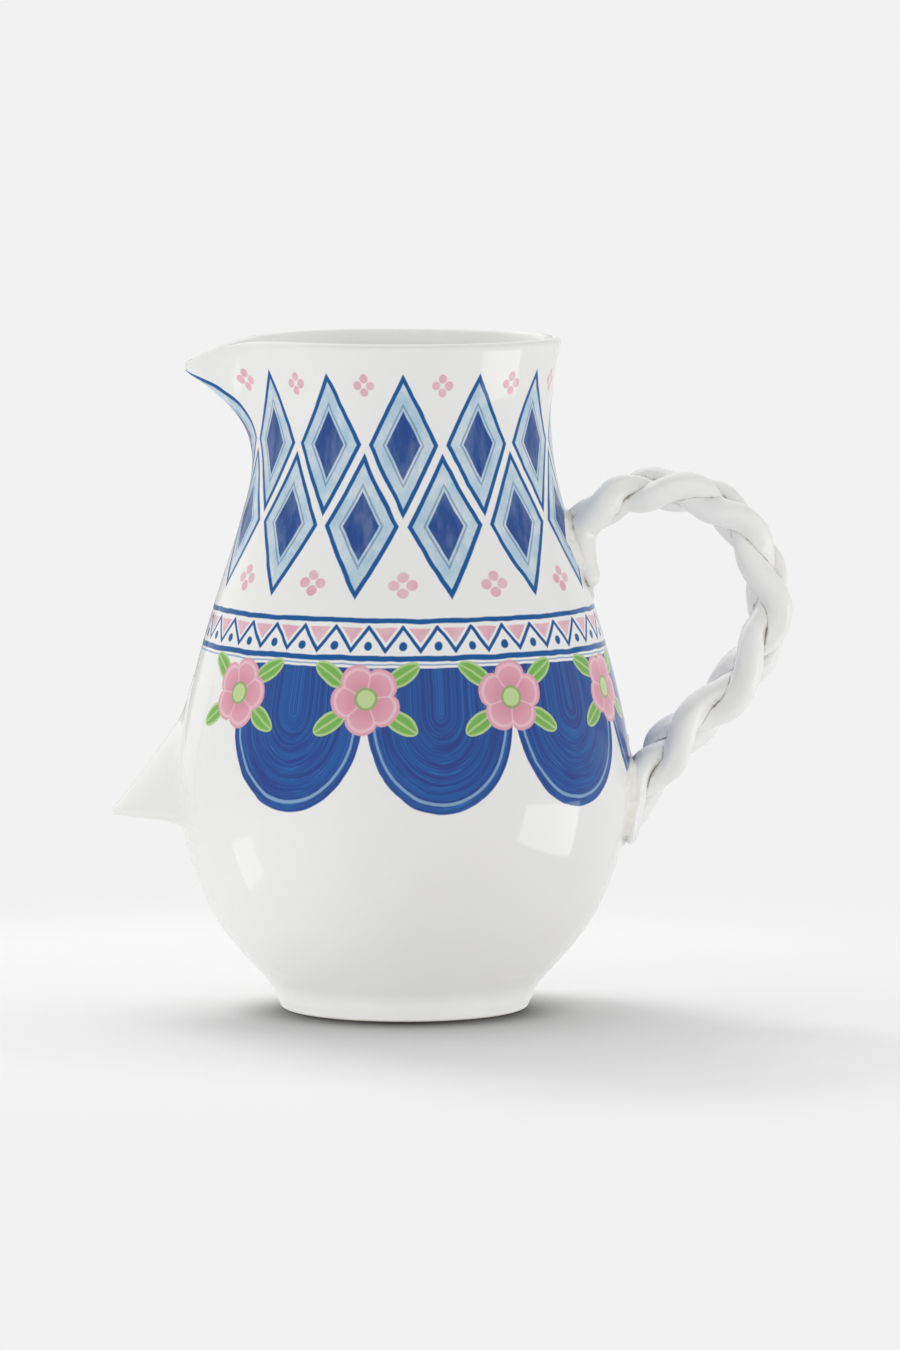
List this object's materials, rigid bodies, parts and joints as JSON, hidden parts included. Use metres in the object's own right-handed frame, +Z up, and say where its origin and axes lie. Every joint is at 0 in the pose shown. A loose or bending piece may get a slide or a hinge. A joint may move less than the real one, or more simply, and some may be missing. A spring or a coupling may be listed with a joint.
{
  "type": "jug",
  "caption": "Glazed earthenware jug with a round belly, a pinched spout over a moulded nose, a foot ring and a handle plaited from ropes of clay.",
  "frame": {"origin": "centre of the foot ring's standing plane, on the axis of the turned body", "axes": "+Z up along the body's axis, -X towards the spout and the nose, +X towards the handle, Y across"},
  "size_m": [0.2429, 0.1626, 0.24],
  "materials": {
    "body_glaze": "gloss",
    "foot_glaze": "gloss",
    "nose_glaze": "gloss",
    "handle_glaze": "gloss",
    "luting_glaze": "gloss"
  },
  "bodies": {
    "root": {"body": "body_glaze", "foot_ring": "foot_glaze", "nose": "nose_glaze", "handle_strand_1": "handle_glaze", "handle_strand_2": "handle_glaze", "handle_strand_3": "handle_glaze", "upper_luting": "luting_glaze", "lower_luting": "luting_glaze"}
  },
  "joints": []
}
